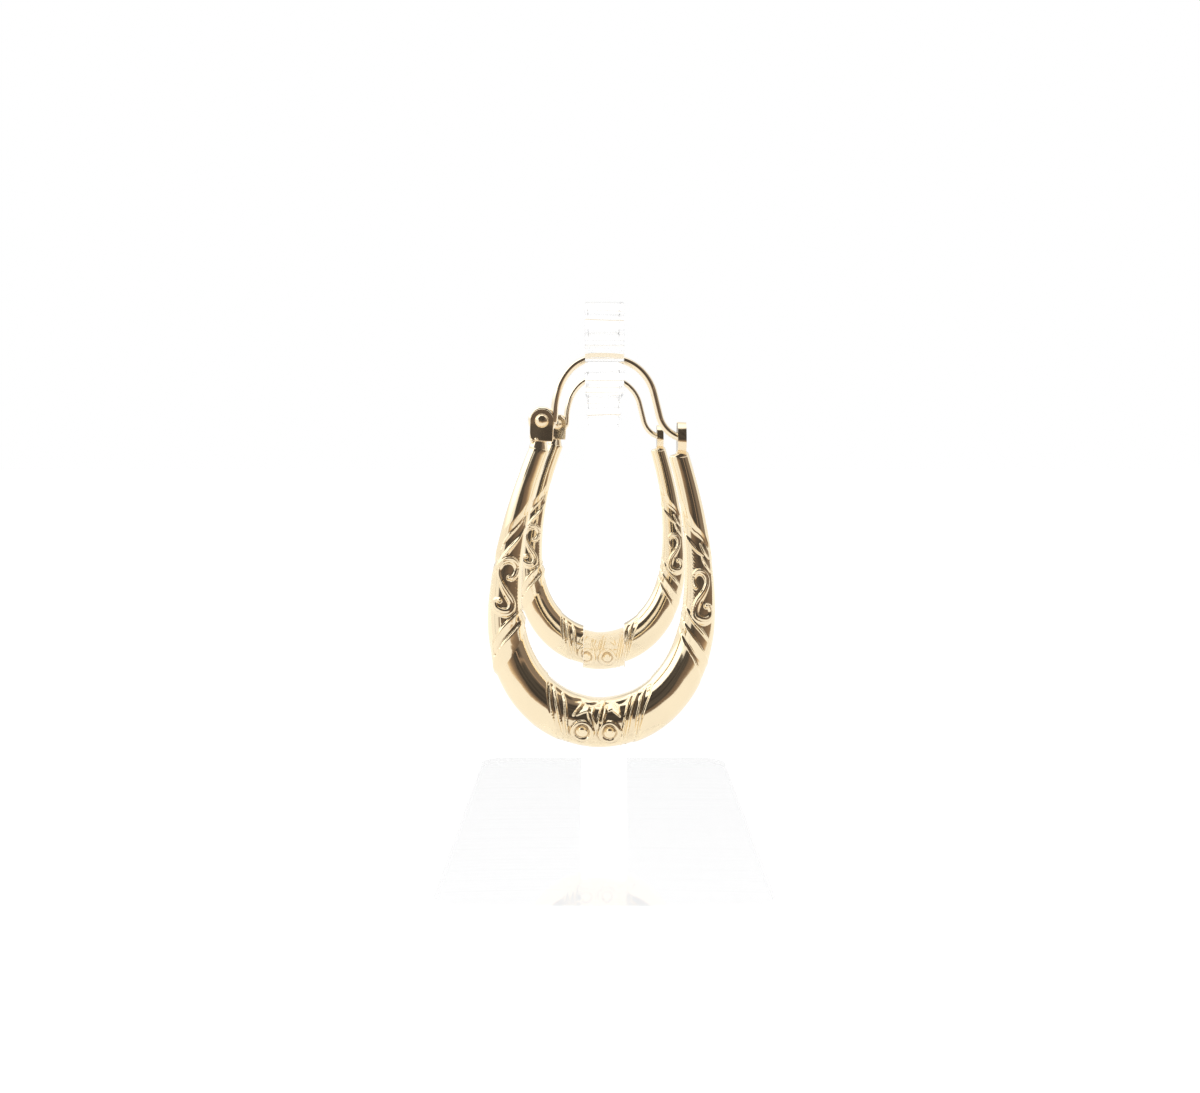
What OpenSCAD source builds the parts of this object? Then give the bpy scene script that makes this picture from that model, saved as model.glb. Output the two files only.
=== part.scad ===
// Pair of oval creole hoop earrings hanging by their ear wires from a clear T-shaped stand.
// Units are millimetres. X runs to the right, Y away from the viewer, Z up.
// The origin is the middle of the stand's underside.

/* [Hoop] */
// Thickness of the gold sheet that the hollow hoop is pressed from
wall = 0.25; // [0.2:0.01:0.35]
// Clockwise lean of each hanging hoop, seen from the front, in degrees
hang_tilt = 2.7; // [0:0.1:5]
// How square the hoop's section is: 2 is a plain ellipse
section_power = 2.15; // [2:0.05:2.6]

/* [Ear wire and hinge] */
// Diameter of the ear wire
wire_d = 0.56; // [0.5:0.01:0.6]
// Radius of the rivet's shank
pin_r = 0.42; // [0.38:0.01:0.44]
// Radius of the hole in the ear wire's eye
eye_hole_r = 0.48; // [0.46:0.01:0.5]
// Outer radius of the ear wire's eye
eye_r = 1.08; // [1:0.01:1.1]
// Radius of the rivet's domed heads
head_r = 0.54; // [0.5:0.01:0.65]

/* [Catch] */
// Radius of the catch tab's round head
catch_r = 1.2; // [1.1:0.05:1.3]
// Thickness of the catch tab
catch_t = 0.66; // [0.6:0.02:0.8]
// Width of the slot that the wire's end drops into
slot_w = 0.74; // [0.7:0.02:0.9]

/* [Stand] */
// Width of the base, across the hoops
base_w = 26; // [22:1:40]
// Length of the base, from the front hoop to the rear one
base_l = 50; // [46:1:60]
// Thickness of the base
base_h = 3; // [2.5:0.5:4]
// Distance between the two hanging holes
hole_pitch = 40; // [38:1:44]
// Diameter of a hanging hole
hole_d = 1.7; // [1.5:0.05:1.8]
// Thickness of the cross bar
bar_t = 2.9; // [2.6:0.1:3.2]
// Thickness of the post at its foot
post_foot_t = 4.2; // [3.4:0.1:5]
// Width of the post along the bar
post_w = 8; // [6:0.5:10]

/* [Hidden] */
$fn = 48;

GOLD = [0.93, 0.79, 0.55];
CLEAR = [0.86, 0.93, 0.95, 0.45];

// Heights in the stand
bar_low = 41;
bar_top = 47.9;
hole_z = 44.22;
bar_l = hole_pitch + 5;
tenon = 1.5;
gap = 0.05;

// One half of the hoop's centre line, from the middle of the bottom up to a limb's end.
// Columns: distance from the hoop's own axis, height, width across the limb, depth front to back
HALF = [
    [0.00, 15.80, 3.98, 4.00],
    [1.80, 16.07, 3.94, 3.96],
    [3.46, 16.76, 3.81, 3.86],
    [4.88, 17.86, 3.60, 3.68],
    [5.99, 19.27, 3.37, 3.47],
    [6.77, 20.89, 3.14, 3.24],
    [7.23, 22.63, 2.92, 3.01],
    [7.42, 24.42, 2.69, 2.77],
    [7.41, 26.22, 2.46, 2.53],
    [7.27, 28.02, 2.23, 2.30],
    [7.04, 29.80, 2.03, 2.09],
    [6.73, 31.58, 1.84, 1.90],
    [6.32, 33.33, 1.69, 1.74],
    [5.82, 35.06, 1.59, 1.63],
    [5.33, 36.55, 1.53, 1.56]
];
LAST = len(HALF) - 1;
hoop_pivot = [-0.14, 26];        // the hoop leans about this point
hinge = [-5.20, 38.76];          // hinge axis, in the hoop's own upright frame
catch_mid = [5.46, 38.06];       // middle of the catch's round head, same frame
slot_low = 37.99;                // centre of the slot's round bottom, same frame
plate_r = 0.89;                  // round top of a clevis plate
plate_t = 0.35;
clevis_gap = 0.72;
plate_low = 37.37;

// The ear wire after it leaves its eye, as a chain of arcs.
// Columns: length, turn in degrees (left is positive)
WIRE = [[1.0, 8], [1.6, -13], [1.7, -24], [2.2, -46], [1.6, -9],
        [2.1, -37], [2.0, -32], [1.8, 0], [1.5, 39], [1.0, 22]];
leave_angle = -13;               // where on the eye the wire leaves
leave_r = 0.80;

// ---- functions ----
function station(i) = abs(i) > LAST
    ? 2 * station(sign(i) * LAST) - station(sign(i) * (LAST - 1))
    : let (r = HALF[abs(i)]) [i < 0 ? -r[0] : r[0], r[1], r[2], r[3]];
function smooth(a, b, c, d, t) = 0.5 * (2 * b + (c - a) * t
    + (2 * a - 5 * b + 4 * c - d) * t * t + (3 * b - a - 3 * c + d) * t * t * t);
function hoop_at(u) = let (i = min(floor(u), LAST - 1), t = u - i)
    smooth(station(i - 1), station(i), station(i + 1), station(i + 2), t);
function unit(v) = v / norm(v);
function hoop_way(u) = let (d = hoop_at(u + 0.02) - hoop_at(u - 0.02)) unit([d[0], d[1]]);
function powered(v, p) = sign(v) * pow(abs(v), 2 / p);

// One ring of points round the hoop's centre line, moved along it and drawn in by the given amounts
function hoop_ring(u, along, inset, sides) =
    let (c = hoop_at(u), t = hoop_way(u), n = [t[1], -t[0]],
         a = c[2] / 2 - inset, b = c[3] / 2 - inset)
    [for (k = [0:sides - 1]) let (q = 360 * k / sides,
         s = a * powered(cos(q), section_power), z = b * powered(sin(q), section_power))
        [c[0] + along * t[0] + s * n[0], c[1] + along * t[1] + s * n[1], z]];

// Position and heading along the wire's chain of arcs
function step_of(p, s) = s[1] == 0
    ? [p[0] + s[0] * cos(p[2]), p[1] + s[0] * sin(p[2]), p[2]]
    : let (r = s[0] / (s[1] * PI / 180), h = p[2] + s[1])
      [p[0] + r * (sin(h) - sin(p[2])), p[1] - r * (cos(h) - cos(p[2])), h];
function walk(p, k) = k == 0 ? p : step_of(walk(p, k - 1), WIRE[k - 1]);
function part_way(p, s, f) = step_of(p, [s[0] * f, s[1] * f]);
function wire_ring(p, r, sides) = let (n = [sin(p[2]), -cos(p[2])])
    [for (k = [0:sides - 1]) let (q = 360 * (k + 0.5) / sides)
        [p[0] + r * cos(q) * n[0], p[1] + r * cos(q) * n[1], r * sin(q)]];

function flat(rings) = [for (r = rings) for (p = r) p];
function skin_faces(count, sides) = concat(
    [[for (k = [sides - 1:-1:0]) k]],
    [for (i = [0:count - 2]) for (k = [0:sides - 1]) let (a = i * sides + k, b = i * sides + (k + 1) % sides)
        each [[a, b, b + sides], [a, b + sides, a + sides]]],
    [[for (k = [0:sides - 1]) (count - 1) * sides + k]]);

// ---- placing ----
// The hoop's own upright frame, leaned and stood up in a plane at distance y
module in_hoop_frame(y) translate([0, y, 0]) rotate([90, 0, 0])
    translate([hoop_pivot[0], hoop_pivot[1], 0]) rotate([0, 0, -hang_tilt])
    translate([0, -hoop_pivot[1], 0]) children();
hinge_row = let (d = hinge - [0, hoop_pivot[1]])
    [hoop_pivot[0] + d[0] * cos(hang_tilt) + d[1] * sin(hang_tilt),
     hoop_pivot[1] - d[0] * sin(hang_tilt) + d[1] * cos(hang_tilt)];

// ---- hoop ----
module hoop_skin(inset, end, sides) {
    us = [for (k = [-2 * LAST:2 * LAST]) k / 2 * end / LAST];
    rings = concat(
        [hoop_ring(-end, -0.12, inset + 0.14, sides)],
        [for (u = us) hoop_ring(u, 0, inset, sides)],
        [hoop_ring(end, 0.12, inset + 0.14, sides)]);
    polyhedron(points = flat(rings), faces = skin_faces(len(rings), sides), convexity = 10);
}

// The two plates of the clevis on the block that is soldered to the left limb's end
module clevis() {
    for (s = [-1, 1]) translate([0, 0, s > 0 ? clevis_gap / 2 : -clevis_gap / 2 - plate_t]) {
        translate(hinge) cylinder(r = plate_r, h = plate_t);
        translate([hinge[0] - plate_r, plate_low, 0]) cube([2 * plate_r, hinge[1] - plate_low, plate_t]);
    }
    translate([hinge[0] - 0.80, 36.35, -0.52]) cube([1.56, 37.60 - 36.35, 1.04]);
}

// The round-headed tab on the right limb's end, with its slot open at the top
module catch_tab() difference() {
    union() {
        translate([catch_mid[0] - catch_t / 2, catch_mid[1], 0]) rotate([0, 90, 0]) cylinder(r = catch_r, h = catch_t);
        translate([catch_mid[0] - catch_t / 2, 36.35, -0.62]) cube([catch_t, 1.2, 1.24]);
    }
    translate([catch_mid[0] - 1, slot_low, 0]) rotate([0, 90, 0]) cylinder(d = slot_w, h = 2);
    translate([catch_mid[0] - 1, slot_low, -slot_w / 2]) cube([2, 2, slot_w]);
}

module hoop(y) color(GOLD) in_hoop_frame(y) difference() {
    union() {
        hoop_skin(0, LAST, 20);
        clevis();
        catch_tab();
    }
    hoop_skin(wall, LAST - 0.4, 12);
    translate([hinge[0], hinge[1], -2]) cylinder(r = pin_r + 0.01, h = 4);
}
module hoop_front() hoop(-hole_pitch / 2);
module hoop_rear() hoop(hole_pitch / 2);

// ---- hinge rivet ----
module hinge_pin(y) color(GOLD) in_hoop_frame(y) translate([hinge[0], hinge[1], 0]) {
    face = clevis_gap / 2 + plate_t + 0.01;
    dome = 0.28;
    ball = (head_r * head_r + dome * dome) / (2 * dome);
    cylinder(r = pin_r, h = 2 * face + 0.1, center = true);
    for (s = [-1, 1]) intersection() {
        translate([0, 0, s * (face + dome - ball)]) sphere(r = ball);
        translate([0, 0, s > 0 ? face : -face - 1]) cylinder(r = head_r + 0.2, h = 1);
    }
}
module hinge_pin_front() hinge_pin(-hole_pitch / 2);
module hinge_pin_rear() hinge_pin(hole_pitch / 2);

// ---- ear wire ----
module ear_wire(y) color(GOLD) translate([0, y, 0]) rotate([90, 0, 0]) {
    half = wire_d / 2;
    bevel = 0.12;
    start = [hinge_row[0] + leave_r * cos(leave_angle), hinge_row[1] + leave_r * sin(leave_angle), leave_angle + 90];
    line = [for (k = [0:len(WIRE) - 1]) let (p = walk(start, k), n = max(2, ceil(WIRE[k][0] / 0.5)))
        for (j = [0:n - 1]) part_way(p, WIRE[k], j / n)];
    tip = walk(start, len(WIRE));
    rings = concat(
        [wire_ring(start, half * 0.8, 12)],
        [for (k = [1:len(line) - 1]) wire_ring(line[k], half, 12)],
        [for (q = [0, 35, 62]) wire_ring(step_of(tip, [half * sin(q), 0]), half * cos(q), 12)]);
    difference() {
        union() {
            translate([hinge_row[0], hinge_row[1], 0]) rotate_extrude() polygon([
                [0.2, -half], [eye_r - bevel, -half], [eye_r, -half + bevel],
                [eye_r, half - bevel], [eye_r - bevel, half], [0.2, half]]);
            polyhedron(points = flat(rings), faces = skin_faces(len(rings), 12), convexity = 10);
        }
        translate([hinge_row[0], hinge_row[1], -1]) cylinder(r = eye_hole_r, h = 2);
    }
}
module ear_wire_front() ear_wire(-hole_pitch / 2);
module ear_wire_rear() ear_wire(hole_pitch / 2);

// ---- stand ----
// A plate in the plane of Y and Z with rounded corners, centred on X
module round_plate(l, low, high, t, r) rotate([90, 0, 90]) translate([0, 0, -t / 2]) linear_extrude(t) {
    translate([-l / 2 + r, low]) square([l - 2 * r, high - low]);
    translate([-l / 2, low + r]) square([l, high - low - 2 * r]);
    for (x = [-l / 2 + r, l / 2 - r], z = [low + r, high - r]) translate([x, z]) circle(r = r);
}

module stand_upright() color(CLEAR) difference() {
    union() {
        round_plate(bar_l, bar_low, bar_top, bar_t, 2.2);
        // Post, thicker at its foot
        translate([0, post_w / 2, 0]) rotate([90, 0, 0]) linear_extrude(post_w) polygon([
            [-post_foot_t / 2, base_h], [post_foot_t / 2, base_h], [bar_t / 2, bar_low + 1], [-bar_t / 2, bar_low + 1]]);
        // Tenon that stands in the base
        translate([-1.6, -post_w / 2 + 0.5, base_h - tenon + gap]) cube([3.2, post_w - 1, tenon]);
        // Rounded inner corners under the bar
        for (s = [-1, 1]) difference() {
            translate([-bar_t / 2, s > 0 ? post_w / 2 - 0.5 : -post_w / 2 - 2.5, bar_low - 2.5]) cube([bar_t, 3, 3]);
            translate([-5, s * (post_w / 2 + 2.5), bar_low - 2.5]) rotate([0, 90, 0]) cylinder(r = 2.5, h = 10);
        }
    }
    for (s = [-1, 1]) translate([-5, s * hole_pitch / 2, hole_z]) rotate([0, 90, 0]) cylinder(d = hole_d, h = 10);
}

module stand_base() color(CLEAR) difference() {
    linear_extrude(base_h - gap) {
        r = 2.5;
        square([base_w - 2 * r, base_l], center = true);
        square([base_w, base_l - 2 * r], center = true);
        for (x = [-base_w / 2 + r, base_w / 2 - r], y = [-base_l / 2 + r, base_l / 2 - r]) translate([x, y]) circle(r = r);
    }
    translate([-1.6 - gap, -post_w / 2 + 0.5 - gap, base_h - tenon]) cube([3.2 + 2 * gap, post_w - 1 + 2 * gap, tenon + 1]);
}

stand_base();
stand_upright();
ear_wire_front();
ear_wire_rear();
hoop_front();
hoop_rear();
hinge_pin_front();
hinge_pin_rear();
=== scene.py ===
import math

import bmesh
import bpy
import numpy as np
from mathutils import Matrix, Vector


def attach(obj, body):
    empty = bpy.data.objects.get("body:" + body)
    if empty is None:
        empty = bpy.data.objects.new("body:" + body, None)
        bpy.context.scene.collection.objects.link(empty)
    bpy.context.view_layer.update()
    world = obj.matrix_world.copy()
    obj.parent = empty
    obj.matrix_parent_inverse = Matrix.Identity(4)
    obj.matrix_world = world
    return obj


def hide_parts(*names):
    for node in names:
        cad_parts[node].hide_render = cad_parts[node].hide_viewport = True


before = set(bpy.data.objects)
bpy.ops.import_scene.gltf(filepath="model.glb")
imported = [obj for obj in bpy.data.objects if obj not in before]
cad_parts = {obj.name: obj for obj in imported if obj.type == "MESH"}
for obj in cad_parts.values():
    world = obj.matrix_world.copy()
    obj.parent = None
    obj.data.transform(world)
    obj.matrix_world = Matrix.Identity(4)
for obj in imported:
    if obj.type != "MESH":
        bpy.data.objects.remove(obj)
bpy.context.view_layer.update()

scene = bpy.context.scene
rng = np.random.default_rng(7)
MM = 0.001

# ---------------------------------------------------------------- camera
cam_data = bpy.data.cameras.new("camera")
cam_data.sensor_width = 36.0
cam_data.sensor_fit = "HORIZONTAL"
cam_data.lens = 43.8
cam_data.clip_start = 0.004
cam_data.clip_end = 20.0
cam_data.dof.use_dof = False
camera = bpy.data.objects.new("camera", cam_data)
scene.collection.objects.link(camera)
camera.location = (-0.00034, -0.1314, 0.038)
camera.rotation_euler = (math.radians(90 - 4.41), 0, 0)
scene.camera = camera
scene.view_settings.view_transform = "Standard"
scene.view_settings.look = "None"

# ---------------------------------------------------------------- the hoop's form
# One half of the centre line: distance from the hoop's axis, height, width across the limb, depth (mm)
HALF = np.array([
    [0.00, 15.80, 3.98, 4.00], [1.80, 16.07, 3.94, 3.96], [3.46, 16.76, 3.81, 3.86],
    [4.88, 17.86, 3.60, 3.68], [5.99, 19.27, 3.37, 3.47], [6.77, 20.89, 3.14, 3.24],
    [7.23, 22.63, 2.92, 3.01], [7.42, 24.42, 2.69, 2.77], [7.41, 26.22, 2.46, 2.53],
    [7.27, 28.02, 2.23, 2.30], [7.04, 29.80, 2.03, 2.09], [6.73, 31.58, 1.84, 1.90],
    [6.32, 33.33, 1.69, 1.74], [5.82, 35.06, 1.59, 1.63], [5.33, 36.55, 1.53, 1.56]])
LAST = 14
left_half = HALF[:0:-1] * [-1, 1, 1, 1]
line = np.vstack([left_half, HALF])
line = np.vstack([2 * line[0] - line[1], line, 2 * line[-1] - line[-2]])
POWER = 2.15
LEAN = math.radians(2.7)
PIVOT = (-0.14, 26.0)
HINGE = (-5.20, 38.76)


def hoop_at(u):
    u = np.asarray(u, float)
    i = np.clip(np.floor(u), -LAST, LAST - 1).astype(int)
    t = (u - i)[..., None]
    a, b, c, d = line[i + LAST], line[i + LAST + 1], line[i + LAST + 2], line[i + LAST + 3]
    return 0.5 * (2 * b + (c - a) * t + (2 * a - 5 * b + 4 * c - d) * t * t + (3 * b - a - 3 * c + d) * t ** 3)


def hoop_way(u):
    d = (hoop_at(np.asarray(u) + 0.02) - hoop_at(np.asarray(u) - 0.02))[..., :2]
    return d / np.linalg.norm(d, axis=-1, keepdims=True)


def powered(v):
    return np.sign(v) * np.abs(v) ** (2 / POWER)


def surface(u, q):
    """Point of the plain hoop at station u and angle q round the section: 0 outside, 90 front, 180 inside (degrees).
    Columns: across, height, towards the viewer."""
    c, t = hoop_at(u), hoop_way(u)
    s = c[..., 2] / 2 * powered(np.cos(np.radians(q)))
    z = c[..., 3] / 2 * powered(np.sin(np.radians(q)))
    return np.stack([c[..., 0] + s * t[..., 1], c[..., 1] - s * t[..., 0], z], -1)


def stand_up(p, y):
    """From the hoop's own upright frame in mm to the row frame in metres, in the plane at distance y (mm)."""
    p = np.asarray(p, float)
    hx, hz, d = p[..., 0], p[..., 1] - PIVOT[1], p[..., 2]
    c, s = math.cos(LEAN), math.sin(LEAN)
    return np.stack([PIVOT[0] + hx * c + hz * s, y - d, PIVOT[1] - hx * s + hz * c], -1) * MM


def smooth_curve(pts, step=0.25):
    """Catmull-Rom through the points, with a parameter from 0 to 1 along it."""
    p = np.array(pts, float)
    p = np.vstack([2 * p[0] - p[1], p, 2 * p[-1] - p[-2]])
    out = []
    n = len(p) - 3
    m = max(3, int(1 / step))
    for i in range(n):
        for k in range(m if i < n - 1 else m + 1):
            t = k / m
            a, b, c, d = p[i], p[i + 1], p[i + 2], p[i + 3]
            out.append(0.5 * (2 * b + (c - a) * t + (2 * a - 5 * b + 4 * c - d) * t * t + (3 * b - a - 3 * c + d) * t ** 3))
    return np.array(out)


# ---------------------------------------------------------------- the tooled ornament
# Strokes are charted as (station, angle) on the front face. Each has its half width, its height over
# the plain surface at the start, middle and end, its taper at both ends, and the sharpness of its crest.
RIDGE, LEDGE, FACET, SWELL, BAND, GROOVE, BEAD = "ridge", "ledge", "facet", "swell", "band", "groove", "bead"
S_WIDTH = [0.17, 0.24, 0.29, 0.31, 0.32, 0.31, 0.29, 0.24, 0.18, 0.16, 0.22, 0.28, 0.32, 0.34, 0.35, 0.36, 0.37, 0.38, 0.38, 0.37, 0.33, 0.26, 0.19]
TWO_WIDTH = [0.19, 0.22, 0.24, 0.26, 0.27, 0.27, 0.26, 0.25, 0.26, 0.30, 0.33, 0.35, 0.37, 0.38, 0.38, 0.37, 0.35, 0.31, 0.25, 0.20]


def ring(u, q, du, dq):
    """A closed ring on the chart."""
    return [(u + du * math.cos(k * math.pi / 10), q + dq * math.sin(k * math.pi / 10)) for k in range(21)]


STROKES = [
    # left side, from the top down: two leaf ridges, an S scroll, two leaf ridges
    (RIDGE, [(-11.66, 158), (-11.32, 141), (-11.04, 131), (-10.70, 112), (-10.40, 92), (-10.12, 73), (-9.81, 55), (-9.51, 39), (-9.24, 30), (-8.86, 12)],
     [0.14, 0.15, 0.16, 0.17, 0.18, 0.19, 0.20, 0.22, 0.24, 0.24], -0.08, 0.75, 0.8, 1.25),
    (FACET, [(-11.66, 158), (-11.32, 141), (-11.04, 131), (-10.70, 112), (-10.40, 92), (-10.12, 73), (-9.81, 55), (-9.51, 39), (-9.24, 30), (-8.86, 12)],
     0.54, 0.12, 0.75, 0.8, 0.0),
    (RIDGE, [(-10.6, 150), (-10.38, 136), (-10.1, 124), (-9.88, 110), (-9.62, 93), (-9.36, 79), (-9.1, 65), (-8.84, 53), (-8.5, 32), (-8.2, 12)],
     [0.09, 0.10, 0.13, 0.17, 0.20, 0.22, 0.24, 0.25, 0.26, 0.26], 0.05, 0.9, 0.8, 1.25),
    (BAND, [(-8.32, 98), (-8.32, 114), (-8.5, 128), (-8.74, 132), (-8.95, 122), (-9.07, 102), (-9.04, 83), (-8.9, 66), (-8.64, 58), (-8.38, 62), (-8.1, 74), (-7.84, 87),
            (-7.6, 99), (-7.38, 111), (-7.18, 117), (-6.98, 114), (-6.85, 103), (-6.83, 90), (-6.88, 76), (-6.98, 62), (-7.14, 55), (-7.30, 57), (-7.38, 72)], S_WIDTH, 0.045, 0.9, 0.9, 0.23),
    (BEAD, [(-8.33, 101)], 0.19, 0.11, 1.0, 1.0, 0.0),
    (BEAD, [(-7.36, 75)], 0.20, 0.11, 1.0, 1.0, 0.0),
    (RIDGE, [(-6.66, 79), (-6.46, 80), (-6.18, 78)], 0.06, -0.05, 0.6, 0.6, 1.3),
    (LEDGE, [(-6.94, 176), (-6.75, 158), (-6.60, 135), (-6.33, 109), (-6.07, 90), (-5.79, 74), (-5.50, 56), (-5.24, 42), (-4.96, 14)],
     [0.18, 0.26, 0.33, 0.38, 0.40, 0.40, 0.37, 0.31, 0.26], 0.05, 0.9, 0.8, 0.0),
    (GROOVE, [(-6.46, 145), (-6.36, 136), (-6.05, 109), (-5.82, 90), (-5.56, 70), (-5.40, 57)], 0.06, -0.07, 0.5, 0.4, 1.0),
    (RIDGE, [(-6.47, 176), (-6.24, 143), (-6.03, 121), (-5.79, 100), (-5.57, 83), (-5.34, 66), (-5.06, 47), (-4.78, 26), (-4.56, 8)],
     [0.11, 0.12, 0.13, 0.13, 0.13, 0.13, 0.13, 0.13, 0.13], 0.15, 0.8, 0.8, 1.2),
    (SWELL, [(-6.47, 176), (-6.24, 143), (-6.03, 121), (-5.79, 100), (-5.57, 83), (-5.34, 66), (-5.06, 47), (-4.78, 26), (-4.56, 8)],
     [0.60, 0.80, 0.88, 0.94, 1.00, 1.02, 0.90, 0.70, 0.50], 0.19, 0.8, 0.8, 0.0),
    # right side
    (RIDGE, [(11.9, 156), (11.62, 142), (11.32, 135), (10.98, 120), (10.72, 101), (10.52, 81), (10.3, 61), (10.0, 43), (9.7, 24)],
     [0.22, 0.24, 0.24, 0.23, 0.21, 0.19, 0.16, 0.14, 0.12], -0.08, 0.75, 0.8, 1.25),
    (FACET, [(11.9, 156), (11.62, 142), (11.32, 135), (10.98, 120), (10.72, 101), (10.52, 81), (10.3, 61), (10.0, 43), (9.7, 24)],
     [0.52, 0.52, 0.50, 0.48, 0.42, 0.36, 0.30, 0.22, 0.15], 0.11, 0.75, 0.8, 0.0),
    (RIDGE, [(10.9, 172), (10.66, 158), (10.4, 137), (10.14, 117), (9.92, 99), (9.74, 84), (9.62, 71)], [0.15, 0.17, 0.18, 0.18, 0.17, 0.16, 0.14], 0.06, 0.8, 0.7, 1.2),
    (RIDGE, [(10.12, 78), (10.06, 74), (9.8, 64), (9.54, 49), (9.26, 27), (9.1, 12)], 0.11, 0.03, 0.5, 0.8, 1.2),
    (RIDGE, [(9.56, 77), (9.52, 74), (9.28, 65), (9.04, 50), (8.8, 38), (8.5, 30)], 0.12, 0.04, 0.5, 0.6, 1.2),
    (BAND, [(8.3, 106), (8.5, 115), (8.74, 114), (8.9, 103), (8.94, 88), (8.84, 71), (8.64, 61), (8.42, 61), (8.18, 70), (7.9, 85), (7.64, 97), (7.38, 104), (7.14, 105),
            (6.97, 97), (6.89, 80), (6.91, 61), (7.05, 47), (7.27, 45), (7.46, 54), (7.53, 69)], TWO_WIDTH, 0.045, 0.9, 0.9, 0.23),
    (BEAD, [(8.33, 106)], 0.17, 0.11, 1.0, 1.0, 0.0),
    (BEAD, [(7.51, 69)], 0.18, 0.11, 1.0, 1.0, 0.0),
    (RIDGE, [(7.66, 172), (7.50, 158), (7.36, 144), (7.06, 122), (6.8, 103), (6.58, 85), (6.36, 67), (6.12, 47), (5.8, 20)], [0.12, 0.14, 0.16, 0.18, 0.19, 0.19, 0.18, 0.18, 0.18], 0.05, 0.8, 0.8, 1.2),
    (LEDGE, [(7.06, 178), (6.86, 167), (6.53, 141), (6.22, 117), (5.96, 96), (5.70, 77), (5.48, 55), (5.25, 27), (5.06, 8)], [0.16, 0.20, 0.25, 0.28, 0.30, 0.31, 0.30, 0.28, 0.25], 0.04, 0.8, 0.8, 0.0),
    (RIDGE, [(6.04, 140), (5.88, 126), (5.66, 109), (5.46, 95), (5.28, 82), (5.08, 69), (4.88, 55), (4.6, 35)], 0.12, 0.06, 0.6, 0.6, 1.2),
    # bottom, left fan of ridges
    (RIDGE, [(-2.95, 150), (-2.62, 128), (-2.30, 107), (-1.96, 88), (-1.6, 62), (-1.28, 24), (-1.15, 5)], 0.13, 0.04, 0.7, 0.8, 1.2),
    (RIDGE, [(-2.70, 158), (-2.42, 138), (-2.02, 114), (-1.62, 90), (-1.28, 62), (-1.04, 14)], 0.14, 0.05, 0.7, 0.8, 1.2),
    (RIDGE, [(-2.2, 160), (-1.84, 138), (-1.56, 116), (-1.28, 88), (-1.05, 60), (-0.88, 14)], 0.13, 0.04, 0.6, 0.8, 1.2),
    # bottom, left spiral with its stems and the rib of its leaf
    (BAND, ring(-0.54, 74, 0.39, 21), 0.19, 0.05, 1.0, 1.0, 0.0),
    (BEAD, [(-0.54, 71)], 0.56, -0.03, 1.0, 1.0, 0.0),
    (BEAD, [(-0.58, 79)], 0.31, 0.12, 1.0, 1.0, 0.10),
    (GROOVE, [(-0.92, 56), (-0.80, 49), (-0.68, 45), (-0.54, 43), (-0.42, 44), (-0.30, 49), (-0.18, 57)], 0.055, -0.08, 0.4, 0.4, 1.0),
    (GROOVE, ring(-0.55, 74, 0.275, 14), 0.06, -0.08, 1.0, 1.0, 1.0),
    (GROOVE, ring(-0.54, 74, 0.50, 27)[7:19], 0.075, -0.09, 0.3, 0.3, 1.0),
    (RIDGE, [(-1.08, 105), (-1.0, 116), (-0.9, 128), (-0.8, 142)], 0.10, 0.06, 0.8, 0.8, 1.2),
    (RIDGE, [(-0.46, 122), (-0.38, 111), (-0.24, 99), (-0.16, 88), (-0.18, 77)], 0.11, 0.05, 0.8, 0.5, 1.2),
    (RIDGE, [(-0.34, 121), (-0.2, 109), (-0.06, 98), (0.0, 87)], 0.10, 0.04, 0.8, 0.4, 1.2),
    # bottom, right spiral with its stem
    (BAND, ring(0.52, 75, 0.37, 22), 0.19, 0.05, 1.0, 1.0, 0.0),
    (BEAD, [(0.52, 71)], 0.56, -0.03, 1.0, 1.0, 0.0),
    (BEAD, [(0.52, 80)], 0.31, 0.12, 1.0, 1.0, 0.10),
    (GROOVE, [(0.14, 60), (0.24, 51), (0.36, 46), (0.52, 43), (0.66, 44), (0.80, 49), (0.90, 57)], 0.06, -0.09, 0.4, 0.4, 1.0),
    (GROOVE, ring(0.53, 75, 0.26, 15), 0.06, -0.08, 1.0, 1.0, 1.0),
    (GROOVE, ring(0.52, 75, 0.48, 28)[7:19], 0.075, -0.09, 0.3, 0.3, 1.0),
    (RIDGE, [(0.5, 156), (0.4, 149), (0.24, 130), (0.14, 114), (0.08, 100), (0.08, 87)], 0.12, 0.05, 0.8, 0.5, 1.2),
    # bottom, right fan of ridges
    (RIDGE, [(2.1, 162), (1.84, 148), (1.56, 124), (1.3, 100), (1.06, 75), (0.88, 32), (0.82, 8)], 0.12, 0.05, 0.7, 0.8, 1.2),
    (RIDGE, [(2.55, 162), (2.28, 148), (1.84, 123), (1.54, 103), (1.34, 86), (1.12, 59), (1.0, 16)], 0.15, 0.06, 0.7, 0.8, 1.2),
    (RIDGE, [(2.9, 155), (2.52, 136), (2.1, 111), (1.78, 90), (1.52, 64), (1.30, 20)], 0.14, 0.05, 0.6, 0.8, 1.2),
]
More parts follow.
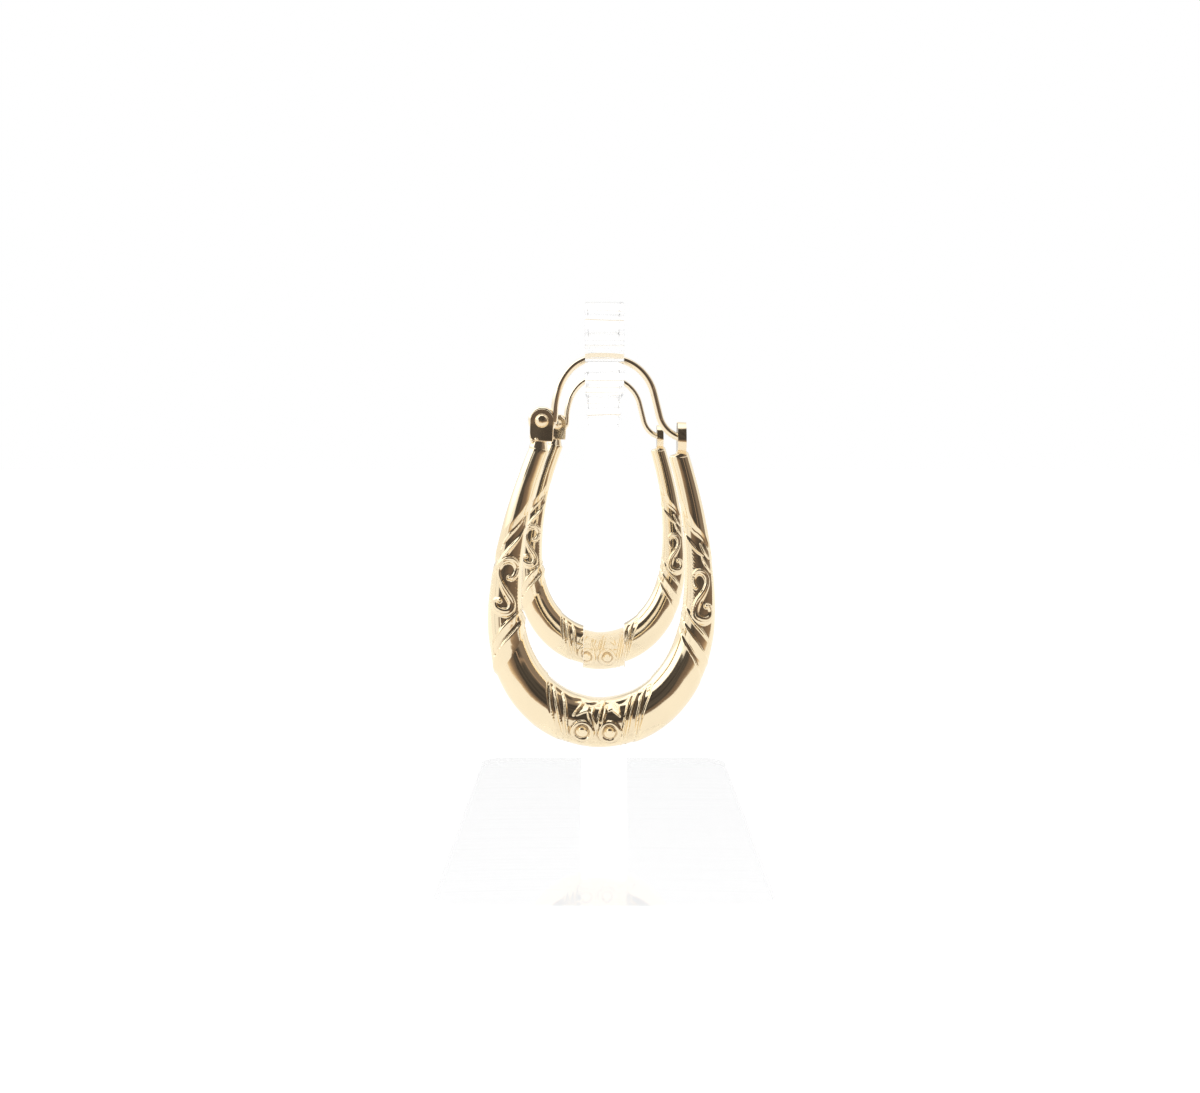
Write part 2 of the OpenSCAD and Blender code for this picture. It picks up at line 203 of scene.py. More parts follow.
# Leaves are cut as flat facets: outline on the chart, how far the facet turns right and up (degrees), height at its top
LEAVES = [
    ([(-0.96, 105), (-0.88, 119), (-0.70, 135), (-0.42, 141), (-0.42, 130), (-0.46, 121), (-0.66, 116), (-0.84, 109)], -14, 48, -0.06),
    ([(-0.42, 140), (-0.18, 140), (-0.14, 129), (-0.18, 119), (-0.24, 114), (-0.36, 124)], -8, 51, -0.10),
    ([(0.44, 145), (0.52, 134), (0.48, 119), (0.36, 106), (0.24, 94), (0.20, 100), (0.26, 113), (0.34, 130)], -4, 46, -0.05),
    ([(0.54, 141), (0.84, 149), (1.08, 141), (1.14, 128), (1.14, 116), (1.10, 105), (0.94, 114), (0.76, 125), (0.58, 123), (0.52, 129)], -9, 49, -0.05),
]
GROUND = 0.18       # depth of the sunk ground round the ornament (mm)
# Borders of the three tooled zones (station as a function of the angle), depth on the middle and on the margins,
# and the angles between which the middle lies
ZONES = [
    ([10, 30, 39, 55, 73, 92, 112, 131, 141, 170], [-8.94, -9.20, -9.46, -9.76, -10.06, -10.34, -10.64, -10.98, -11.26, -11.76],
     [10, 26, 47, 66, 83, 100, 121, 143, 170], [-4.57, -4.79, -5.07, -5.35, -5.58, -5.80, -6.04, -6.25, -6.50], 1.0, 0.22, 42, 140),
    ([10, 40, 55, 69, 82, 95, 109, 126, 140, 170], [4.4, 4.7, 4.9, 5.08, 5.26, 5.44, 5.62, 5.86, 6.05, 6.4],
     [10, 25, 43, 61, 81, 101, 120, 135, 142, 170], [9.4, 9.7, 10.0, 10.3, 10.52, 10.72, 10.98, 11.32, 11.62, 12.0], 1.0, 0.22, 40, 142),
    ([5, 24, 63, 88, 105, 122, 160], [-1.25, -1.38, -1.72, -2.08, -2.44, -2.78, -3.3],
     [5, 27, 72, 94, 109, 125, 160], [1.35, 1.50, 1.80, 2.12, 2.46, 2.90, 3.5], 1.0, 0.4, 44, 150),
]


def smoothstep(a, b, x):
    t = np.clip((x - a) / np.asarray(b - a), 0, 1)
    return t * t * (3 - 2 * t)


def relief(U, Q, P, N):
    """Height over the plain surface in mm, and how strongly painted shade, with a little dirt, darkens a point's colour
    in the sunk ground and engraved lines (0 to 1).
    U, Q are stations and angles with the rear face folded on to the front one, P the points, N the normals."""
    ground = np.zeros(U.shape)
    wave = np.sin(U * 4.6 + np.cos(U * 2.1))
    for qa, ua, qb, ub, share, rest, low, high in ZONES:
        a, b = np.interp(Q, qa, ua), np.interp(Q, qb, ub)
        if rest < 0.3:
            # beside the scrolls the ground is pressed flatter than the round limb
            sides = np.clip(1 - ((Q - 0.5 * (low + high)) / (0.5 * (high - low))) ** 2, 0, 1)
        else:
            sides = smoothstep(low - 8, low + 8, Q + 3 * wave) * (1 - smoothstep(high - 7, high + 7, Q - 4 * wave))
        inside = smoothstep(0, 0.10, U - a) * smoothstep(0, 0.10, b - U)
        ground = np.maximum(ground, inside * (rest + (1 - rest) * sides) * share)
    h = -GROUND * ground
    top = np.full(U.shape, -9.0)
    cut = np.zeros(U.shape)
    flank = np.zeros(U.shape)
    line_shade_and_dirt = np.zeros(U.shape)
    for kind, pts, width, height, start, end, extra in STROKES:
        c = smooth_curve(pts, 0.1) if len(pts) > 1 else np.array(pts, float)
        us, ue = c[:, 0].min() - 0.45, c[:, 0].max() + 0.45
        near = np.nonzero((U > us) & (U < ue))[0]
        C = surface(c[:, 0], c[:, 1])
        t = np.linspace(0, 1, len(c))
        part = P[near]
        best = np.full(len(near), 9.0)
        which = np.zeros(len(near), int)
        for k in range(len(C)):
            d = np.sqrt(((part - C[k]) ** 2).sum(-1))
            closer = d < best
            best[closer] = d[closer]
            which[closer] = k
        at = t[which]
        taper = np.minimum(start + (1 - start) * smoothstep(0, 0.35, at), end + (1 - end) * smoothstep(0, 0.35, 1 - at))
        if isinstance(width, list):
            width = np.interp(at, np.linspace(0, 1, len(width)), width)
        w = width * taper
        x = best / w
        off = part - C[which]
        if kind == GROOVE:
            cut[near] = np.minimum(cut[near], height * np.exp(-(x * 1.2) ** 2) * taper)
            # engraved grooves also take painted shade, with a little dirt, in the gold's colour
            line_shade_and_dirt[near] = np.maximum(line_shade_and_dirt[near], np.exp(-(x * 1.2) ** 2) * taper)
        elif kind == BEAD:
            dome = -GROUND + (height + GROUND) * np.sqrt(np.clip(1 - x * x, 0, 1)) + extra * off[:, 1]
            top[near] = np.maximum(top[near], np.where(x < 1, dome, -9))
        elif kind == LEDGE:
            # a ridge with its crest along the edge next to the scroll and a long even slope away from it
            order = np.argsort(c[:, 1])
            side = np.sign(np.interp(Q[near], c[order, 1], np.abs(c[order, 0])) - np.abs(U[near]))
            level = np.interp(x * side, [-1.15, -0.92, -0.75, -0.55, 1.05, 1.2, 1.3], [-GROUND, height - 0.04, height, height - 0.01, -0.10, -0.13, -GROUND])
            top[near] = np.maximum(top[near], np.where((x < 1.3) & (x * side > -1.15), -GROUND + (level + GROUND) * taper, -9))
        elif kind == FACET:
            # a cut flank outside a border ridge: deepest at the ridge, level with the plain surface at its outer edge
            plain = (x < 1) & (ground[near] < 0.3)
            flank[near] = np.minimum(flank[near], np.where(plain, -height * taper * (1 - np.clip(x, 0, 1)), 0))
        elif kind == SWELL:
            # a flank that falls away from a border ridge down to the plain surface
            plain = (x < 1) & (ground[near] < 0.3)
            top[near] = np.maximum(top[near], np.where(plain, height * taper * (1 - np.clip(x, 0, 1)), -9))
        elif kind == BAND:
            # a flat scroll band with a fine line along its middle, leaning outwards and down
            lean = -extra * (off[:, 0] * 0.5 * np.sign(U[near]) - off[:, 1] * 0.87)
            line_cut = 0.022 * np.exp(-(best / 0.055) ** 2) * smoothstep(0.12, 0.22, width)
            rise = (height + GROUND) * (1 - np.clip(x, 0, 1) ** 4) - line_cut + lean
            top[near] = np.maximum(top[near], np.where(x < 1, -GROUND + rise, -9))
            # the band's fine middle line also takes painted shade, with a little dirt
            line_shade_and_dirt[near] = np.maximum(line_shade_and_dirt[near], 10 * line_cut)
        else:
            # a crest that falls off to the sunk ground on both sides
            rise = (height + GROUND) * taper * (1 - np.clip(x, 0, 1.25) ** extra)
            top[near] = np.maximum(top[near], np.where(x < 1.25, -GROUND + rise, -9))
    for outline, turn, tip, first in LEAVES:
        o = np.array(outline, float)
        V = surface(o[:, 0], o[:, 1])
        mid = V.mean(0)
        near = np.nonzero(((P - mid) ** 2).sum(-1) < 1.96)[0]
        flat = np.cross(V - mid, np.roll(V, -1, 0) - mid).sum(0)
        flat /= np.linalg.norm(flat) * np.sign(flat[2])
        e1 = np.cross([0.0, 1.0, 0.0], flat)
        e1 /= np.linalg.norm(e1)
        e2 = np.cross(flat, e1)
        poly = np.stack([(V - mid) @ e1, (V - mid) @ e2], -1)
        xy = np.stack([(P[near] - mid) @ e1, (P[near] - mid) @ e2], -1)
        inside = np.zeros(len(near), bool)
        dist = np.full(len(near), 9.0)
        for k in range(len(poly)):
            p0, p1 = poly[k], poly[(k + 1) % len(poly)]
            crosses = ((p0[1] > xy[:, 1]) != (p1[1] > xy[:, 1])) & (xy[:, 0] < (p1[0] - p0[0]) * (xy[:, 1] - p0[1]) / (p1[1] - p0[1] + 1e-12) + p0[0])
            inside ^= crosses
            e = p1 - p0
            t = np.clip(((xy - p0) @ e) / (e @ e), 0, 1)
            dist = np.minimum(dist, np.linalg.norm(xy - p0 - t[:, None] * e, axis=1))
        signed = np.where(inside, dist, -dist)
        a, b = math.radians(turn), math.radians(tip)
        facet = np.array([math.sin(a) * math.cos(b), math.sin(b), math.cos(a) * math.cos(b)])
        high = V[V[:, 1].argmax()] + first * flat
        rise = np.clip(((high - P[near]) @ facet) / np.clip(N[near] @ facet, 0.2, 1), -GROUND, 0.26)
        value = -GROUND + (rise + GROUND) * smoothstep(-0.02, 0.05, signed)
        top[near] = np.maximum(top[near], np.where(signed > -0.02, value, -9))
    h = h + flank
    blend = 0.025
    k = np.clip(0.5 + 0.5 * (top - h) / blend, 0, 1)
    h = h * (1 - k) + top * k + blend * k * (1 - k)
    h = h + cut
    # stippled margins beside the scrolls
    for lo_u, hi_u, lo_q, hi_q in ((-9.3, -6.6, 128, 168), (6.9, 9.9, 107, 166), (-8.9, -6.4, 12, 46), (6.4, 9.0, 10, 34)):
        area = smoothstep(lo_u - 0.2, lo_u + 0.1, U) * smoothstep(hi_u + 0.2, hi_u - 0.1, U) * smoothstep(lo_q - 4, lo_q + 6, Q) * smoothstep(hi_q + 4, hi_q - 6, Q)
        x, y, z = P[:, 0], P[:, 1], P[:, 2]
        grain = np.sin(25 * x + 7 * z + 1.3) * np.sin(23 * y - 5 * x) * np.sin(27 * z + 4 * y) + 0.6 * np.sin(31 * y + 11 * z) * np.sin(17 * x - 19 * z)
        h = h + 0.010 * area * grain
    # painted shade, with a little dirt: the deepest sunk ground and the engraved lines are darkened in the gold's
    # colour
    hollow = np.maximum(0.2 * np.clip((-h - 0.10) / 0.07, 0, 1), 1.5 * np.clip(line_shade_and_dirt, 0, 1))
    return h, hollow


def spaced_stations():
    """Stations along the hoop: fine in the tooled zones, coarser on the plain polished parts."""
    fine = np.linspace(-LAST, LAST, 5601)
    pos = hoop_at(fine)[:, :2]
    arc = np.concatenate([[0], np.cumsum(np.linalg.norm(np.diff(pos, axis=0), axis=1))])
    want = np.full(len(fine), 0.26)
    for a, b in ((-11.6, -4.5), (-3.0, 3.0), (4.5, 11.8)):
        inside = smoothstep(a - 0.5, a, fine) * (1 - smoothstep(b, b + 0.5, fine))
        want = np.minimum(want, 0.26 + (0.0625 - 0.26) * inside)
    count = np.concatenate([[0], np.cumsum(np.diff(arc) / (0.5 * (want[1:] + want[:-1])))])
    n = int(round(count[-1]))
    return np.interp(np.linspace(0, count[-1], n + 1), count, fine)


def spaced_angles(n):
    """Angles round the section, evenly spaced along it and denser on the two faces."""
    q = np.linspace(0, 360, 7201)
    p = np.stack([powered(np.cos(np.radians(q))), powered(np.sin(np.radians(q)))], -1)
    step = np.linalg.norm(np.diff(p, axis=0), axis=1)
    mid = 0.5 * (q[1:] + q[:-1])
    weight = 0.55 + np.abs(np.sin(np.radians(mid))) ** 1.5
    count = np.concatenate([[0], np.cumsum(step * weight)])
    return np.interp(np.linspace(0, count[-1], n + 1)[:-1], count, q)


def add_mesh(name, verts, faces, smooth=True):
    me = bpy.data.meshes.new(name)
    me.from_pydata([tuple(v) for v in verts], [], [tuple(f) for f in faces])
    me.validate()
    me.polygons.foreach_set("use_smooth", [smooth] * len(me.polygons))
    me.update()
    ob = bpy.data.objects.new(name, me)
    scene.collection.objects.link(ob)
    return ob


def hoop_shell():
    us, qs = spaced_stations(), spaced_angles(144)
    U, Q = np.meshgrid(us, qs, indexing="ij")
    P = surface(U, Q)
    e = 0.01
    du = surface(np.clip(U + e, -LAST, LAST), Q) - surface(np.clip(U - e, -LAST, LAST), Q)
    dq = surface(U, Q + 0.5) - surface(U, Q - 0.5)
    N = np.cross(du, dq)
    N /= np.linalg.norm(N, axis=-1, keepdims=True)
    c = hoop_at(U)
    outward = P - np.stack([c[..., 0], c[..., 1], np.zeros(U.shape)], -1)
    N *= np.sign((N * outward).sum(-1, keepdims=True))
    fold = np.where(Q > 180, 360 - Q, Q)
    F = P.copy()
    F[..., 2] = np.abs(F[..., 2])
    M = N.copy()
    M[..., 2] = np.abs(M[..., 2])
    h, hollow = relief(U.ravel(), fold.ravel(), F.reshape(-1, 3), M.reshape(-1, 3))
    h, hollow = h.reshape(U.shape), hollow.reshape(U.shape)
    # seam of the two pressed halves along the outer and inner edge, dressed nearly flush
    girth = np.minimum(np.minimum(Q, 360 - Q), np.abs(Q - 180)) * np.pi / 180 * c[..., 2] / 2
    h = h - 0.004 * np.exp(-(girth / 0.05) ** 2)
    # slight waviness of hand-finished sheet
    h = h + 0.0035 * np.sin(U * 2.3 + 1.1) * np.sin(np.radians(Q) * 3 + U * 0.9) + 0.002 * np.sin(U * 5.1) * np.cos(np.radians(Q) * 2)
    P = P + N * h[..., None]
    rings, shade_dirt_rings = [r for r in P], [r for r in hollow]
    # rounded ends of the limbs
    for end, sgn in ((0, -1), (-1, 1)):
        u_end = sgn * LAST
        cc, tt = hoop_at(u_end), hoop_way(u_end) * sgn
        centre = np.array([cc[0], cc[1], 0.0])
        base = rings[0] if sgn < 0 else rings[-1]
        extra = []
        for k in range(1, 7):
            a = math.radians(15 * k)
            shrink = 1 - 0.34 * (1 - math.cos(a)) * (1 if k < 6 else 1)
            r = centre + (base - centre) * shrink
            r = r + np.array([tt[0], tt[1], 0]) * 0.26 * math.sin(a)
            extra.append(r)
        if sgn < 0:
            rings = extra[::-1] + rings
            shade_dirt_rings = [np.zeros(len(qs))] * len(extra) + shade_dirt_rings
        else:
            rings = rings + extra
            shade_dirt_rings = shade_dirt_rings + [np.zeros(len(qs))] * len(extra)
    R = np.array(rings)
    n, m = R.shape[:2]
    V = R.reshape(-1, 3)
    i = np.arange(n - 1)[:, None] * m
    j = np.arange(m)[None, :]
    jn = (j + 1) % m
    quads = np.stack([i + j, i + m + j, i + m + jn, i + jn], -1).reshape(-1, 4)
    V = np.vstack([V, R[0].mean(0), R[-1].mean(0)])
    faces = quads.tolist()
    for k in range(m):
        faces.append((n * m, k, (k + 1) % m))
        faces.append((n * m + 1, (n - 1) * m + (k + 1) % m, (n - 1) * m + k))
    shade_dirt_values = np.concatenate([np.concatenate(shade_dirt_rings), [0, 0]])
    return V, faces, shade_dirt_values


# ---------------------------------------------------------------- materials
def new_material(name):
    m = bpy.data.materials.new(name)
    m.use_nodes = True
    nt = m.node_tree
    return m, nt, nt.nodes["Principled BSDF"]


def gold_material(name, base, dark, rough, hollow=False, scratch=1.0):
    m, nt, bsdf = new_material(name)
    n, l = nt.nodes, nt.links
    bsdf.inputs["Metallic"].default_value = 1.0
    coord = n.new("ShaderNodeTexCoord")
    # faint patches of tone in the alloy
    patches = n.new("ShaderNodeTexNoise")
    patches.inputs["Scale"].default_value = 420
    patches.inputs["Detail"].default_value = 3
    l.new(coord.outputs["Object"], patches.inputs["Vector"])
    tone = n.new("ShaderNodeValToRGB")
    tone.color_ramp.elements[0].position = 0.35
    tone.color_ramp.elements[0].color = (*[c * 0.97 for c in base], 1)
    tone.color_ramp.elements[1].position = 0.65
    tone.color_ramp.elements[1].color = (*base, 1)
    l.new(patches.outputs["Fac"], tone.inputs["Fac"])
    colour = tone.outputs["Color"]
    if hollow:
        # painted shade, with a little dirt, darkens the sunk ground and the engraved lines; less polish where the
        # polishing mop can't reach
        deep = n.new("ShaderNodeAttribute")
        deep.attribute_name = "hollow"
        grain = n.new("ShaderNodeTexNoise")
        grain.inputs["Scale"].default_value = 5200
        grain.inputs["Detail"].default_value = 2
        l.new(coord.outputs["Object"], grain.inputs["Vector"])
        amount = n.new("ShaderNodeMath"); amount.operation = "MULTIPLY"
        l.new(deep.outputs["Fac"], amount.inputs[0])
        l.new(grain.outputs["Fac"], amount.inputs[1])
        mix = n.new("ShaderNodeMix"); mix.data_type = "RGBA"
        l.new(amount.outputs[0], mix.inputs["Factor"])
        l.new(colour, mix.inputs["A"])
        # the dark colour is painted shade, with a little dirt
        mix.inputs["B"].default_value = (*dark, 1)
        colour = mix.outputs["Result"]
        shine = n.new("ShaderNodeMapRange")
        shine.inputs["To Min"].default_value = rough
        shine.inputs["To Max"].default_value = rough + 0.05
        l.new(amount.outputs[0], shine.inputs["Value"])
        l.new(shine.outputs["Result"], bsdf.inputs["Roughness"])
    else:
        wear = n.new("ShaderNodeTexNoise")
        wear.inputs["Scale"].default_value = 900
        wear.inputs["Detail"].default_value = 4
        l.new(coord.outputs["Object"], wear.inputs["Vector"])
        shine = n.new("ShaderNodeMapRange")
        shine.inputs["From Min"].default_value = 0.35
        shine.inputs["From Max"].default_value = 0.7
        shine.inputs["To Min"].default_value = rough * 0.8
        shine.inputs["To Max"].default_value = rough * 1.5
        l.new(wear.outputs["Fac"], shine.inputs["Value"])
        l.new(shine.outputs["Result"], bsdf.inputs["Roughness"])
    l.new(colour, bsdf.inputs["Base Color"])
    # hairline polishing marks and the slight orange-peel of pressed sheet
    peel = n.new("ShaderNodeTexNoise")
    peel.inputs["Scale"].default_value = 1500
    peel.inputs["Detail"].default_value = 3
    l.new(coord.outputs["Object"], peel.inputs["Vector"])
    stretch = n.new("ShaderNodeMapping")
    stretch.inputs["Scale"].default_value = (9000, 9000, 700)
    stretch.inputs["Rotation"].default_value = (0.2, 0.5, 0.3)
    l.new(coord.outputs["Object"], stretch.inputs["Vector"])
    hair = n.new("ShaderNodeTexNoise")
    hair.inputs["Scale"].default_value = 1.0
    hair.inputs["Detail"].default_value = 2
    l.new(stretch.outputs["Vector"], hair.inputs["Vector"])
    b1 = n.new("ShaderNodeBump")
    b1.inputs["Strength"].default_value = 0.25 * scratch
    b1.inputs["Distance"].default_value = 0.00001
    l.new(peel.outputs["Fac"], b1.inputs["Height"])
    b2 = n.new("ShaderNodeBump")
    b2.inputs["Strength"].default_value = 0.12 * scratch
    b2.inputs["Distance"].default_value = 0.000006
    l.new(hair.outputs["Fac"], b2.inputs["Height"])
    l.new(b1.outputs["Normal"], b2.inputs["Normal"])
    l.new(b2.outputs["Normal"], bsdf.inputs["Normal"])
    return m


GOLD = (0.925, 0.782, 0.545)
# (0.40, 0.26, 0.15) is the colour of the painted shade, with a little dirt, in the sunk ground and engraved lines
gold_shell = gold_material("gold_tooled", GOLD, (0.40, 0.26, 0.15), 0.085, hollow=True)
gold_wire = gold_material("gold_wire", (0.935, 0.815, 0.615), (0, 0, 0), 0.08)
gold_plate = gold_material("gold_fittings", (0.92, 0.765, 0.53), (0, 0, 0), 0.11, scratch=1.6)
gold_solder = gold_material("gold_solder", (0.93, 0.79, 0.57), (0, 0, 0), 0.13, scratch=1.6)


def clear_material(name):
    m, nt, bsdf = new_material(name)
    n, l = nt.nodes, nt.links
    bsdf.inputs["Base Color"].default_value = (0.998, 0.999, 1.0, 1)
    bsdf.inputs["IOR"].default_value = 1.49
    bsdf.inputs["Transmission Weight"].default_value = 1.0
    coord = n.new("ShaderNodeTexCoord")
    haze = n.new("ShaderNodeTexNoise")
    haze.inputs["Scale"].default_value = 160
    haze.inputs["Detail"].default_value = 5
    l.new(coord.outputs["Object"], haze.inputs["Vector"])
    rough = n.new("ShaderNodeMapRange")
    rough.inputs["From Min"].default_value = 0.45
    rough.inputs["From Max"].default_value = 0.8
    rough.inputs["To Min"].default_value = 0.0
    rough.inputs["To Max"].default_value = 0.05
    l.new(haze.outputs["Fac"], rough.inputs["Value"])
    l.new(rough.outputs["Result"], bsdf.inputs["Roughness"])
    return m


clear = clear_material("clear_acrylic")

# ---------------------------------------------------------------- stage
def build_stage():
    me = bpy.data.meshes.new("floor")
    me.from_pydata([(-1.2, -0.30, 0), (1.2, -0.30, 0), (1.2, 1.4, 0), (-1.2, 1.4, 0)], [], [(0, 1, 2, 3)])
    floor = bpy.data.objects.new("floor", me)
    scene.collection.objects.link(floor)
    m, nt, bsdf = new_material("floor_white")
    n, l = nt.nodes, nt.links
    bsdf.inputs["Roughness"].default_value = 0.6
    bsdf.inputs["Specular IOR Level"].default_value = 0.3
    bsdf.inputs["Emission Strength"].default_value = 0.87
    bsdf.inputs["Emission Color"].default_value = (1, 1, 1, 1)
    coord = n.new("ShaderNodeTexCoord")
    grain = n.new("ShaderNodeTexNoise")
    grain.inputs["Scale"].default_value = 60
    l.new(coord.outputs["Object"], grain.inputs["Vector"])
    ramp = n.new("ShaderNodeValToRGB")
    ramp.color_ramp.elements[0].color = (0.195, 0.195, 0.197, 1)
    ramp.color_ramp.elements[1].color = (0.205, 0.205, 0.205, 1)
    l.new(grain.outputs["Fac"], ramp.inputs["Fac"])
    l.new(ramp.outputs["Color"], bsdf.inputs["Base Color"])
    # the sheet ends in a round front edge
    sep = n.new("ShaderNodeSeparateXYZ")
    l.new(coord.outputs["Object"], sep.inputs[0])
    def step(op, a, b):
        m = n.new("ShaderNodeMath"); m.operation = op
        for k, v in enumerate((a, b)):
            if isinstance(v, (int, float)):
                m.inputs[k].default_value = v
            else:
                l.new(v, m.inputs[k])
        return m.outputs[0]
    bow = step("MINIMUM", step("MULTIPLY", step("MULTIPLY", sep.outputs["X"], sep.outputs["X"]), 24.5), 0.10)
    fade = n.new("ShaderNodeMapRange"); fade.interpolation_type = "SMOOTHSTEP"
    fade.inputs["From Min"].default_value = -0.150
    fade.inputs["From Max"].default_value = -0.174
    l.new(step("SUBTRACT", sep.outputs["Y"], bow), fade.inputs["Value"])
    through = n.new("ShaderNodeBsdfTransparent")
    blend = n.new("ShaderNodeMixShader")
    l.new(fade.outputs["Result"], blend.inputs[0])
    l.new(bsdf.outputs[0], blend.inputs[1])
    l.new(through.outputs[0], blend.inputs[2])
    l.new(blend.outputs[0], n["Material Output"].inputs["Surface"])
    me.materials.append(m)


def build_world():
    """A white tent, open and dark towards the front right, and brightest on the left and overhead."""
    w = bpy.data.worlds.new("tent")
    scene.world = w
    w.use_nodes = True
    nt = w.node_tree
    n, l = nt.nodes, nt.links
    n.clear()
    coord = n.new("ShaderNodeTexCoord")
    sep = n.new("ShaderNodeSeparateXYZ")
    l.new(coord.outputs["Generated"], sep.inputs[0])

    def math_node(op, a, b=None):
        m = n.new("ShaderNodeMath"); m.operation = op
        for k, v in enumerate((a, b)):
            if v is None:
                continue
            if isinstance(v, (int, float)):
                m.inputs[k].default_value = v
            else:
                l.new(v, m.inputs[k])
        return m.outputs[0]

    def ramp(v, a, b):
        m = n.new("ShaderNodeMapRange"); m.interpolation_type = "SMOOTHSTEP"
        m.inputs["From Min"].default_value = a
        m.inputs["From Max"].default_value = b
        l.new(v, m.inputs["Value"])
        return m.outputs["Result"]

    x, y, z = sep.outputs
    az = math_node("ARCTAN2", x, math_node("MULTIPLY", y, -1.0))     # 0 towards the viewer, positive to the right
    el = math_node("ARCSINE", z)
    d = math.radians
    def window(v, a0, a1, b0, b1):
        return math_node("MULTIPLY", ramp(v, d(a0), d(a1)), ramp(v, d(b1), d(b0)))

    left_edge = math_node("MULTIPLY", ramp(el, d(11), d(16)), d(22))
    opening = math_node("MULTIPLY", ramp(math_node("ADD", az, left_edge), d(-33), d(-25)), ramp(az, d(100), d(94)))
    opening = math_node("MULTIPLY", opening, ramp(el, d(82), d(68)))
    softbox = math_node("MULTIPLY", window(az, -152, -140, -44, -36), window(el, 10, 16, 62, 72))
    over = math_node("MULTIPLY", ramp(z, 0.80, 0.97), 0.6)
    back = math_node("MULTIPLY", ramp(math_node("ABSOLUTE", az), d(142), d(166)), window(el, -30, -12, 30, 45))
    seams = math_node("ADD", window(az, -53, -51.5, -49.5, -48), window(az, 118, 120, 123, 125))
    bright = math_node("ADD", math_node("ADD", math_node("MULTIPLY", softbox, 0.75), over), 1.06)
    bright = math_node("SUBTRACT", bright, math_node("MULTIPLY", back, 0.36))
    bright = math_node("SUBTRACT", bright, math_node("MULTIPLY", math_node("MULTIPLY", seams, ramp(el, d(40), d(20))), 0.28))
    # the room beyond: nearly black in front, brown to the right, with fine upright streaks and a warm rim low down
    streak = n.new("ShaderNodeCombineXYZ")
    l.new(az, streak.inputs[0])
    l.new(math_node("MULTIPLY", el, 0.3), streak.inputs[1])
    room = n.new("ShaderNodeTexNoise")
    room.inputs["Scale"].default_value = 7.5
    room.inputs["Detail"].default_value = 3
    l.new(streak.outputs[0], room.inputs["Vector"])
    room_tone = n.new("ShaderNodeValToRGB")
    room_tone.color_ramp.elements[0].position = 0.36
    room_tone.color_ramp.elements[0].color = (0.050, 0.045, 0.044, 1)
    room_tone.color_ramp.elements[1].position = 0.70
    room_tone.color_ramp.elements[1].color = (0.12, 0.108, 0.102, 1)
    l.new(room.outputs["Fac"], room_tone.inputs["Fac"])
    brown = n.new("ShaderNodeMix"); brown.data_type = "RGBA"
    l.new(math_node("MULTIPLY", window(az, 38, 60, 150, 160), 0.85), brown.inputs["Factor"])
    l.new(room_tone.outputs["Color"], brown.inputs["A"])
    brown.inputs["B"].default_value = (0.30, 0.245, 0.21, 1)
    # a warm sill low down, paler towards its foot
    foot = n.new("ShaderNodeMapRange")
    foot.inputs["From Min"].default_value = d(1)
    foot.inputs["From Max"].default_value = d(-15)
    l.new(math_node("ADD", el, math_node("MULTIPLY", ramp(az, d(-8), d(2)), d(5))), foot.inputs["Value"])
    shade = n.new("ShaderNodeValToRGB")
    for k, (at, colour) in enumerate(((0.0, (0.20, 0.15, 0.12, 1)), (0.31, (0.30, 0.22, 0.165, 1)), (0.50, (0.58, 0.43, 0.30, 1)), (0.72, (0.88, 0.73, 0.55, 1)), (1.0, (1.0, 0.95, 0.86, 1)))):
        stop = shade.color_ramp.elements[k] if k < 2 else shade.color_ramp.elements.new(at)
        stop.position = at
        stop.color = colour
    l.new(foot.outputs["Result"], shade.inputs["Fac"])
    sill = n.new("ShaderNodeMix"); sill.data_type = "RGBA"
    l.new(ramp(el, d(2.5), d(-1)), sill.inputs["Factor"])
    l.new(brown.outputs["Result"], sill.inputs["A"])
    l.new(shade.outputs["Color"], sill.inputs["B"])
    white = n.new("ShaderNodeCombineColor")
    for k in range(3):
        l.new(bright, white.inputs[k])
    # a warm leaning bar in the room beyond
    lean = math_node("MAXIMUM", math_node("MINIMUM", math_node("ADD", math_node("MULTIPLY", math_node("SUBTRACT", el, d(10)), 3.4), d(27)), d(54)), d(27))
    beside = math_node("ABSOLUTE", math_node("SUBTRACT", az, lean))
    post = n.new("ShaderNodeMix"); post.data_type = "RGBA"
    l.new(math_node("MULTIPLY", ramp(beside, d(4), d(1.5)), window(el, 0, 4, 42, 55)), post.inputs["Factor"])
    l.new(sill.outputs["Result"], post.inputs["A"])
    post.inputs["B"].default_value = (0.40, 0.295, 0.23, 1)
    mix = n.new("ShaderNodeMix"); mix.data_type = "RGBA"
    l.new(opening, mix.inputs["Factor"])
    l.new(white.outputs[0], mix.inputs["A"])
    l.new(post.outputs["Result"], mix.inputs["B"])
    lit = n.new("ShaderNodeBackground")
    l.new(mix.outputs["Result"], lit.inputs["Color"])
    plain = n.new("ShaderNodeBackground")
    plain.inputs["Color"].default_value = (1.0, 1.0, 1.0, 1)
    path = n.new("ShaderNodeLightPath")
    through = math_node("GREATER_THAN", path.outputs["Transmission Depth"], 0.5)
    l.new(math_node("ADD", math_node("MULTIPLY", through, 0.09), 1.0), plain.inputs["Strength"])
    choose = n.new("ShaderNodeMixShader")
    seen = math_node("MAXIMUM", path.outputs["Is Camera Ray"], through)
    l.new(seen, choose.inputs[0])
    l.new(lit.outputs[0], choose.inputs[1])
    l.new(plain.outputs[0], choose.inputs[2])
    out = n.new("ShaderNodeOutputWorld")
    l.new(choose.outputs[0], out.inputs["Surface"])


build_stage()
build_world()
scene.cycles.max_bounces = 40
scene.cycles.transmission_bounces = 40
scene.cycles.glossy_bounces = 12

